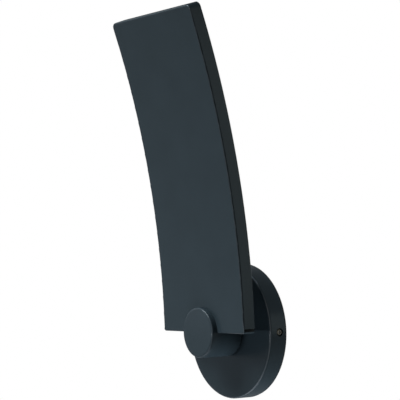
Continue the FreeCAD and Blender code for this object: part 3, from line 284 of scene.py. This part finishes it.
def side_screw_metal():
    """Dulled yellow-chromated pan head, with painted shade in the cross and towards the rim, where the
    recesses shade it.
    """
    g = Surface("side_screw_brass")
    across, depth, rise = g.axes(g.place)
    out = g.math("ABSOLUTE", across)
    away = g.length(g.math("ADD", depth, SCREW_DEPTH), rise)
    # Painted shade in the cross: surfaces sunk below the head's top, and a disc in the middle, are
    # darkened.
    sunk = g.span(out, SCREW_TOP - 0.55 * MM, SCREW_TOP - 0.15 * MM, 1.0, 0.0)
    middle = g.span(away, 0.5 * MM, 1.3 * MM, 0.85, 0.0)
    arms = g.math("MULTIPLY", sunk, g.span(away, 2.0 * MM, 2.2 * MM, 1.0, 0.0))
    cross = g.math("MAXIMUM", middle, arms)
    # Painted shade towards the rim of the head, where the recess around it shades it.
    rim = g.span(away, 2.3 * MM, 2.9 * MM, 0.0, 0.6)
    stain = g.noise(1300.0, 4.0, 0.65)
    clean = g.tone(stain, (0.036, 0.034, 0.026), (0.070, 0.064, 0.050))
    g.set(colour=g.blend(g.math("MAXIMUM", cross, rim), clean, (0.018, 0.016, 0.013)),
          metallic=g.span(cross, 0.0, 1.0, 0.75, 0.1), roughness=g.span(stain, 0.3, 0.7, 0.40, 0.58),
          normal=g.bump(stain, 0.25, 0.02 * MM))
    return g.material


def painted_metal(name, low, high):
    """Thin even paint on a small metal piece."""
    g = Surface(name)
    coat = g.noise(300.0, 3.0)
    g.set(colour=g.tone(coat, low, high), metallic=0.0, specular=0.5,
          roughness=g.span(coat, 0.3, 0.7, 0.35, 0.5), normal=g.bump(g.noise(1500.0), 0.2, 0.01 * MM))
    return g.material


def moulded(name, low, high, roughness, specular=0.5, subsurface=0.0):
    """Moulded plastic: a spark-eroded grain and a faint change of tone where it flowed."""
    g = Surface(name)
    flow = g.noise(30.0, 3.0)
    skin = g.noise(1200.0, 3.0, 0.6)
    g.set(colour=g.tone(flow, low, high), specular=specular,
          roughness=g.span(skin, 0.3, 0.7, roughness - 0.05, roughness + 0.07),
          normal=g.bump(skin, 0.25, 0.02 * MM), subsurface=subsurface, subsurface_scale=2 * MM)
    return g.material


def seal_rubber():
    """Matte black rubber strip, dusty in places."""
    g = Surface("seal_rubber")
    dust = g.noise(500.0, 4.0, 0.6)
    g.set(colour=g.tone(dust, (0.0065, 0.0072, 0.0074), (0.0110, 0.0118, 0.0120), 0.45, 0.75),
          roughness=0.85, specular=0.06, normal=g.bump(dust, 0.3, 0.02 * MM))
    return g.material


def foam_rubber():
    """Closed-cell foam: small cells, each a little darker at its rim."""
    g = Surface("foam")
    cell = g.cells(900.0)
    g.set(colour=g.tone(cell, (0.042, 0.042, 0.044), (0.018, 0.018, 0.019), 0.0, 0.7),
          roughness=0.92, specular=0.2, normal=g.bump(cell, 0.8, 0.25 * MM))
    return g.material


def silicone_rubber():
    """Pale silicone, dusty and slightly see-through at its edges."""
    g = Surface("silicone")
    dust = g.noise(700.0, 3.0, 0.6)
    g.set(colour=g.tone(dust, (0.50, 0.49, 0.47), (0.60, 0.59, 0.57), 0.35, 0.7),
          roughness=g.span(dust, 0.3, 0.7, 0.42, 0.6), specular=0.4,
          subsurface=0.15, subsurface_scale=1.5 * MM, normal=g.bump(dust, 0.15, 0.02 * MM))
    return g.material


def opal_sheet():
    """Opal acrylic: milky body, satin face."""
    g = Surface("opal")
    milk = g.noise(14.0, 2.0)
    satin = g.noise(2200.0, 2.0, 0.6)
    g.set(colour=g.tone(milk, (0.80, 0.81, 0.80), (0.84, 0.84, 0.82)),
          roughness=g.span(satin, 0.3, 0.7, 0.34, 0.42), specular=0.45,
          subsurface=0.25, subsurface_scale=4 * MM, normal=g.bump(satin, 0.12, 0.008 * MM))
    return g.material


def board_mask():
    """White solder mask over the weave of the board."""
    g = Surface("white_board")
    weave = g.noise(1600.0, 2.0)
    g.set(colour=g.tone(weave, (0.80, 0.80, 0.78), (0.86, 0.86, 0.84)), roughness=0.35, specular=0.5,
          normal=g.bump(weave, 0.15, 0.01 * MM))
    return g.material


def chip_gel():
    """Yellow phosphor gel of the chips."""
    g = Surface("chip_phosphor")
    gel = g.noise(2500.0, 2.0)
    g.set(colour=g.tone(gel, (0.80, 0.62, 0.12), (0.88, 0.72, 0.20)), roughness=0.25, specular=0.5,
          normal=g.bump(gel, 0.1, 0.01 * MM))
    return g.material


def wire_skin(name, low, high, left_low=None, left_high=None):
    """Insulation of a lead. With a second pair of tones, the wire on the left has these."""
    g = Surface(name)
    skin = g.noise(900.0, 3.0, 0.6)
    colour = g.tone(skin, low, high)
    if left_low:
        on_right = g.math("GREATER_THAN", g.axes(g.place)[0], 0.0)
        colour = g.blend(on_right, g.tone(skin, left_low, left_high), colour)
    g.set(colour=colour, roughness=0.45, specular=0.45, normal=g.bump(skin, 0.2, 0.02 * MM))
    return g.material


MATERIALS = {
    "black_coat": satin_coat("black_coat", 0.42, 0.75),
    "plated_steel": zinc_plate(),
    "side_screw_brass": side_screw_metal(),
    "stainless": turned_metal("stainless", (0.60, 0.60, 0.61), (0.68, 0.68, 0.69), 0.28),
    "black_screw": painted_metal("black_screw", (0.030, 0.030, 0.033), (0.045, 0.045, 0.05)),
    "ground_green": painted_metal("ground_green", (0.05, 0.26, 0.10), (0.08, 0.34, 0.15)),
    "black_nylon": moulded("black_nylon", (0.020, 0.020, 0.021), (0.028, 0.028, 0.030), 0.5, 0.4),
    "foam": foam_rubber(),
    "seal_rubber": seal_rubber(),
    "silicone": silicone_rubber(),
    "opal": opal_sheet(),
    "white_board": board_mask(),
    "chip_phosphor": chip_gel(),
    "white_plastic": moulded("white_plastic", (0.76, 0.76, 0.74), (0.82, 0.82, 0.80), 0.38,
                             subsurface=0.08),
    "ivory_plastic": moulded("ivory_plastic", (0.70, 0.68, 0.60), (0.78, 0.76, 0.68), 0.5,
                             subsurface=0.08),
    "terminal_brass": turned_metal("terminal_brass", (0.62, 0.48, 0.24), (0.74, 0.60, 0.32), 0.3),
    "supply_insulation": wire_skin("supply_insulation", (0.72, 0.72, 0.70), (0.80, 0.80, 0.78),
                                   (0.020, 0.020, 0.021), (0.032, 0.032, 0.033)),
    "lead_insulation": wire_skin("lead_insulation", (0.70, 0.69, 0.66), (0.78, 0.77, 0.74)),
    "earth_insulation": wire_skin("earth_insulation", (0.06, 0.30, 0.09), (0.10, 0.38, 0.13)),
}

# Turned pieces of the same coat, whose edges shine in another way and carry a weaker painted shade
# band.
TURNED_COATS = {
    "canopy_cover": satin_coat("black_coat_canopy", 0.62, 0.2),
    "arm_cap": satin_coat("black_coat_cap", 0.24, 0.3),
}


def dress_nodes():
    for row in frame["record"]["subparts"]:
        materials = nodes[row["node"]].data.materials
        materials.clear()
        materials.append(TURNED_COATS.get(row["node"], MATERIALS[row["material_slot"]]))


# Pieces

def add_groove_shade_strips():
    """A soft black strip in the groove at each lower corner of the panel: painted shade, a dark piece
    that stands for the shade in the groove.
    """
    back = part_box("rear_cover")[1].y + STRIP_PAST_COVER
    size = Vector((STRIP_THICKNESS, back - STRIP_FRONT, STRIP_HIGH - STRIP_LOW))
    for side, sign in (("right", 1.0), ("left", -1.0)):
        middle = Vector((sign * STRIP_MIDDLE, (STRIP_FRONT + back) / 2, (STRIP_LOW + STRIP_HIGH) / 2))
        bm = bmesh.new()
        bmesh.ops.create_cube(bm, size=1.0)
        for vertex in bm.verts:
            vertex.co = vertex.co * size + middle
        bmesh.ops.bevel(bm, geom=bm.edges[:], offset=STRIP_ROUND, segments=3, affect="EDGES")
        mesh = bpy.data.meshes.new(f"groove_shade_strip_{side}")
        bm.to_mesh(mesh)
        bm.free()
        for face in mesh.polygons:
            face.use_smooth = True
        # The black rubber colour of this strip is painted shade for the groove.
        mesh.materials.append(MATERIALS["seal_rubber"])
        strip = bpy.data.objects.new(f"groove_shade_strip_{side}", mesh)
        scene.collection.objects.link(strip)
        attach(strip, "head")


# Studio

def add_floor():
    bm = bmesh.new()
    bmesh.ops.create_circle(bm, cap_ends=True, segments=FLOOR_SEGMENTS, radius=FLOOR_RADIUS)
    mesh = bpy.data.meshes.new("studio_floor")
    bm.to_mesh(mesh)
    bm.free()
    floor = bpy.data.objects.new("studio_floor", mesh)
    floor.location = FLOOR_PLACE
    scene.collection.objects.link(floor)
    g = Surface("studio_floor")
    x, y, _ = g.axes(g.place)
    faded = g.span(g.length(x, y), FLOOR_RADIUS - FLOOR_FADE, FLOOR_RADIUS - FLOOR_RIM, 0.0, 1.0)
    g.set(colour=g.blend(g.noise(60.0, 4.0), (0.80, 0.805, 0.81), (0.84, 0.84, 0.845)),
          roughness=0.7, specular=0.2)
    clear = g.add("ShaderNodeBsdfTransparent")
    g.show(faded, g.shader.outputs["BSDF"], clear.outputs["BSDF"])
    mesh.materials.append(g.material)


def add_world():
    """White where the camera, a reflection or glass sees it. It gives no light of its own."""
    world = bpy.data.worlds.new("studio")
    g = Graph(world, "ShaderNodeOutputWorld")
    rays = g.add("ShaderNodeLightPath").outputs
    seen = g.math("MAXIMUM", rays["Is Camera Ray"], rays["Is Glossy Ray"])
    seen = g.math("MAXIMUM", seen, rays["Is Transmission Ray"])
    levels = []
    for strength in (0.0, 1.0):
        level = g.add("ShaderNodeBackground")
        level.inputs["Color"].default_value = (1.0, 1.0, 1.0, 1.0)
        level.inputs["Strength"].default_value = strength
        levels.append(level.outputs["Background"])
    g.show(seen, *levels)
    scene.world = world


def direction(azimuth, elevation):
    """Unit vector towards a place around the object, from angles in radians."""
    return Vector((math.sin(azimuth) * math.cos(elevation), -math.cos(azimuth) * math.cos(elevation),
                   math.sin(elevation)))


def add_lamp(name, azimuth, elevation, distance, size, radiance, colour):
    """A soft box that faces the lit point."""
    away = direction(math.radians(azimuth), math.radians(elevation))
    lamp = bpy.data.lights.new(name, "AREA")
    lamp.shape = "RECTANGLE"
    lamp.size, lamp.size_y = size
    lamp.energy = radiance * math.pi * size[0] * size[1]
    lamp.color = colour
    holder = bpy.data.objects.new(name, lamp)
    holder.location = LIT_POINT + away * distance
    holder.rotation_euler = away.to_track_quat("Z", "Y").to_euler()
    holder.visible_camera = False
    scene.collection.objects.link(holder)


def add_camera():
    azimuth, elevation, roll = map(math.radians, (CAMERA_AZIMUTH, CAMERA_ELEVATION, CAMERA_ROLL))
    back = direction(azimuth, elevation)
    level = Vector((math.cos(azimuth), math.sin(azimuth), 0.0))
    rise = back.cross(level)
    right = level * math.cos(roll) + rise * math.sin(roll)
    up = rise * math.cos(roll) - level * math.sin(roll)
    data = bpy.data.cameras.new("photo_camera")
    data.sensor_width = SENSOR_WIDTH
    data.sensor_fit = "HORIZONTAL"
    data.lens = FOCAL_PIXELS * SENSOR_WIDTH / FRAME_PIXELS
    data.clip_start = NEAREST
    data.clip_end = FARTHEST
    camera = bpy.data.objects.new("photo_camera", data)
    turn = Matrix((right, up, back)).transposed().to_4x4()
    camera.matrix_world = Matrix.Translation(CAMERA_TARGET + back * CAMERA_DISTANCE) @ turn
    scene.collection.objects.link(camera)
    scene.camera = camera


dress_nodes()
add_groove_shade_strips()
add_camera()
add_world()
add_floor()
for lamp_row in LAMPS:
    add_lamp(*lamp_row)

scene.view_settings.view_transform = "Standard"
